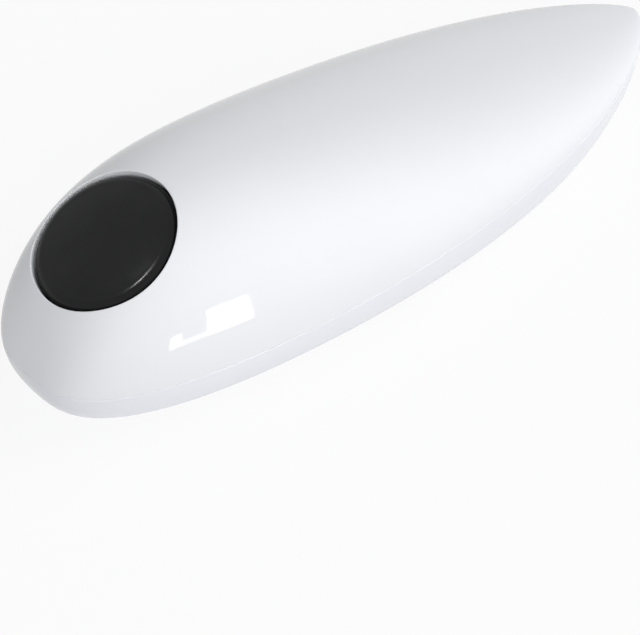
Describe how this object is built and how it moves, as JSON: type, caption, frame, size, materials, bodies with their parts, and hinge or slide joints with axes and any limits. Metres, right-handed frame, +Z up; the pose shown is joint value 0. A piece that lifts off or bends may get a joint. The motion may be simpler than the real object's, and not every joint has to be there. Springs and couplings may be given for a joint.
{
  "type": "electric can opener",
  "caption": "Battery-driven hands-free can opener with an egg-shaped white casing, a round black push button, a geared drive wheel, a swinging side cutter and a lid magnet.",
  "frame": {"origin": "middle of the lowest plane, under the middle of the casing", "axes": "+X from the nose with the button to the tail, +Y across the casing, +Z up"},
  "size_m": [0.18, 0.065, 0.0418],
  "materials": {
    "casing_white": "glossy",
    "pan_white": "glossy",
    "button_black": "satin",
    "black_plastic": "moulded",
    "red_plastic": "moulded",
    "cream_plastic": "moulded",
    "gear_plastic": "moulded",
    "gear_steel": "ground",
    "plate_steel": "stamped",
    "motor_steel": "zinc plated",
    "tool_steel": "ground",
    "shaft_steel": "polished",
    "screw_steel": "plated",
    "spring_steel": "bright",
    "sinter_bronze": "oiled",
    "brass": "machined",
    "nickel_strip": "nickel plated",
    "magnet_grey": "ground ferrite",
    "armature_copper": "lacquered winding",
    "cell_jacket": "printed sleeve without lettering",
    "red_lead": "insulated wire",
    "black_lead": "insulated wire"
  },
  "bodies": {
    "casing": {"top_cover": "casing_white", "bottom_cover": "pan_white", "casing_screws": "screw_steel", "guide_plate": "plate_steel", "guide_screws": "screw_steel", "spindle_bush": "sinter_bronze", "carriage_bush": "sinter_bronze", "second_gear_pin": "shaft_steel", "first_gear_pin": "shaft_steel", "motor_magnets": "magnet_grey", "motor_can": "motor_steel", "motor_end_cap": "cream_plastic", "motor_terminals": "brass", "motor_strap": "plate_steel", "strap_screws": "screw_steel", "lower_plate": "plate_steel", "upper_plate": "plate_steel", "plate_pillars": "shaft_steel", "lower_plate_screws": "screw_steel", "upper_plate_screws": "screw_steel", "button_spring": "spring_steel", "switch_body": "black_plastic", "switch_bracket": "black_plastic", "bracket_screws": "screw_steel", "switch_terminals": "brass", "magnet": "magnet_grey", "magnet_holder": "black_plastic", "magnet_screw": "screw_steel", "battery_left": "cell_jacket", "battery_right": "cell_jacket", "battery_cradle": "black_plastic", "positive_contact": "nickel_strip", "negative_contact": "nickel_strip", "bridge_contact": "nickel_strip", "contact_springs": "spring_steel", "lead_battery_switch": "red_lead", "lead_switch_motor": "black_lead", "lead_battery_motor": "black_lead"},
    "rotor": {"motor_shaft": "shaft_steel", "motor_armature": "armature_copper", "worm": "brass"},
    "first_stage": {"first_gear": "gear_plastic"},
    "second_stage": {"second_gear": "gear_plastic"},
    "drive": {"drive_spindle": "shaft_steel", "drive_wheel": "tool_steel", "drive_screw": "screw_steel", "spindle_pinion": "brass", "output_gear": "gear_steel"},
    "clutch": {"clutch_gear": "gear_steel"},
    "carriage": {"cutter_carriage": "tool_steel", "carriage_ring": "spring_steel", "cutter_screw": "screw_steel", "cutter_washer": "spring_steel", "clutch_washer": "spring_steel", "clutch_ring": "spring_steel"},
    "cutter": {"cutter_wheel": "tool_steel"},
    "button": {"button_cap": "button_black"},
    "plunger": {"switch_plunger": "red_plastic"},
    "door": {"battery_door": "pan_white"}
  },
  "joints": [
    {"name": "second_gear_spin", "type": "hinge", "parent": "casing", "child": "second_stage", "pos_m": [-0.02546, 0.00986, 0.015], "axis": [0, 0, 1], "continuous": true},
    {"name": "first_gear_spin", "type": "hinge", "parent": "casing", "child": "first_stage", "pos_m": [-0.01466, -0.00301, 0.02], "axis": [0, 0, 1], "continuous": true},
    {"name": "rotor_spin", "type": "hinge", "parent": "casing", "child": "rotor", "pos_m": [-0.035, 0.00999, 0.0264], "axis": [1, 0, 0], "continuous": true},
    {"name": "drive_spin", "type": "hinge", "parent": "casing", "child": "drive", "pos_m": [-0.044, 0, 0.01], "axis": [0, 0, 1], "continuous": true},
    {"name": "clutch_gear_spin", "type": "hinge", "parent": "casing", "child": "clutch", "pos_m": [-0.061, 0, 0.0108], "axis": [0, 0, 1], "continuous": true},
    {"name": "carriage_turn", "type": "hinge", "parent": "casing", "child": "carriage", "pos_m": [-0.061, 0, 0.006], "axis": [0, 0, 1], "range_deg": [-110, 0]},
    {"name": "cutter_spin", "type": "hinge", "parent": "carriage", "child": "cutter", "pos_m": [-0.06203, 0.00282, 0.0026], "axis": [0, 0, 1], "continuous": true},
    {"name": "button_press", "type": "slide", "parent": "casing", "child": "button", "axis": [0.4226, 0, -0.9063], "range_m": [0, 0.0025], "stiffness_N_per_m": 700, "springref_m": -0.002, "deforming": ["button_spring"]},
    {"name": "plunger_press", "type": "slide", "parent": "casing", "child": "plunger", "axis": [0.4226, 0, -0.9063], "range_m": [0, 0.0025]},
    {"name": "door_slide", "type": "slide", "parent": "casing", "child": "door", "axis": [1, 0, 0], "range_m": [0, 0.056]}
  ],
  "couplings": [
    {"joint": "first_gear_spin", "follows": "second_gear_spin", "ratio": -2.5},
    {"joint": "rotor_spin", "follows": "second_gear_spin", "ratio": -70},
    {"joint": "drive_spin", "follows": "second_gear_spin", "ratio": -0.4},
    {"joint": "clutch_gear_spin", "follows": "second_gear_spin", "ratio": 0.21818},
    {"joint": "plunger_press", "follows": "button_press", "ratio": 1}
  ]
}
